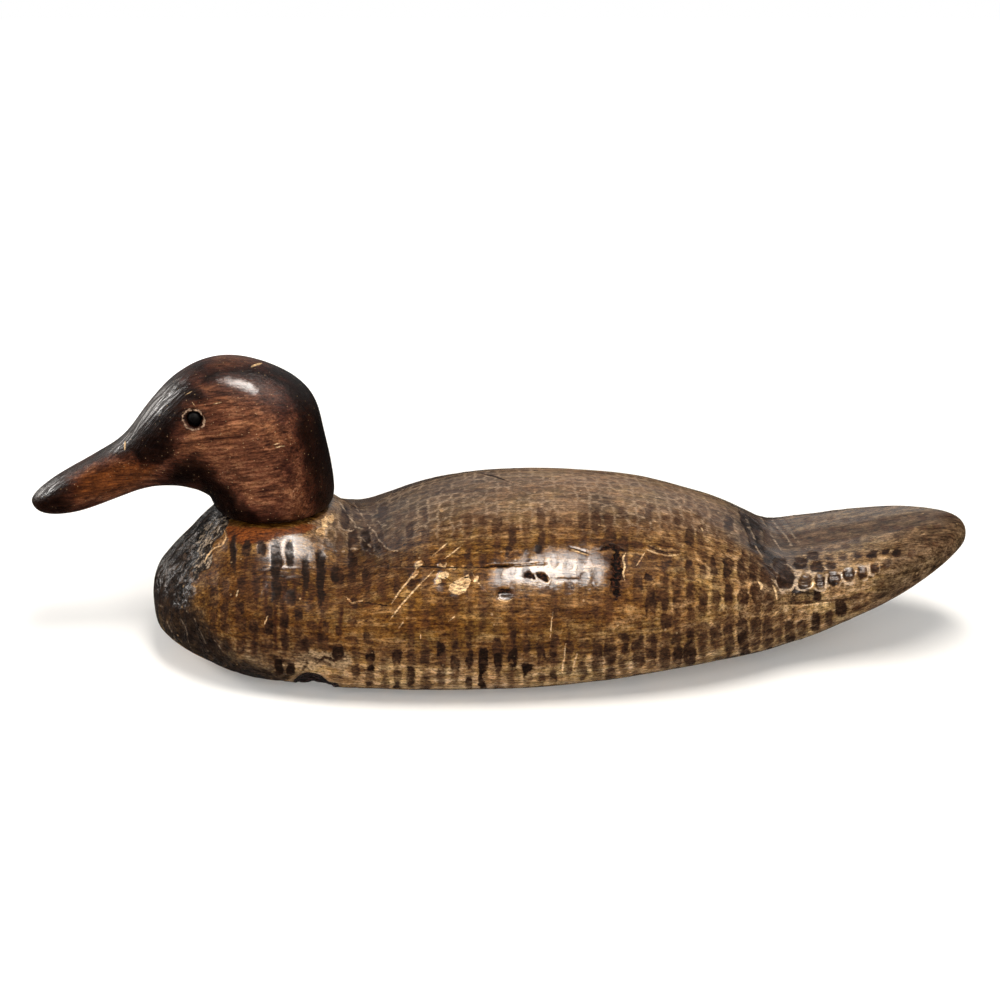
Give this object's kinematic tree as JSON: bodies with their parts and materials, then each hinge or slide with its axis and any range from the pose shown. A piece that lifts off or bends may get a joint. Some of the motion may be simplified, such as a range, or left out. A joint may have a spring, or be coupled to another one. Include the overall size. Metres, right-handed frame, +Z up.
{
  "type": "duck decoy",
  "caption": "Carved wooden duck decoy with a solid flat-bottomed body, paddle tail, separate head set on the breast and black bead eyes.",
  "frame": {"origin": "middle of the decoy's bounding box, at the height of the flat underside that it rests on", "axes": "+X from the breast towards the tail, so the bill points to -X; +Y towards the duck's own right side; +Z up"},
  "size_m": [0.3932, 0.1384, 0.1244],
  "materials": {
    "body_wood": "hand-carved wood with burnt-in feather marks under an old clear varnish, glossy on the flank and worn on the ridges",
    "head_wood": "smooth red-brown wood, scorched near-black on the crown, chin and bill tip, under glossy old varnish",
    "bead_left": "polished black bead; whether it is glass or painted wood can't be told",
    "bead_right": "polished black bead; whether it is glass or painted wood can't be told"
  },
  "bodies": {
    "root": {"body": "body_wood", "head": "head_wood", "eye_left": "bead_left", "eye_right": "bead_right"}
  },
  "joints": []
}
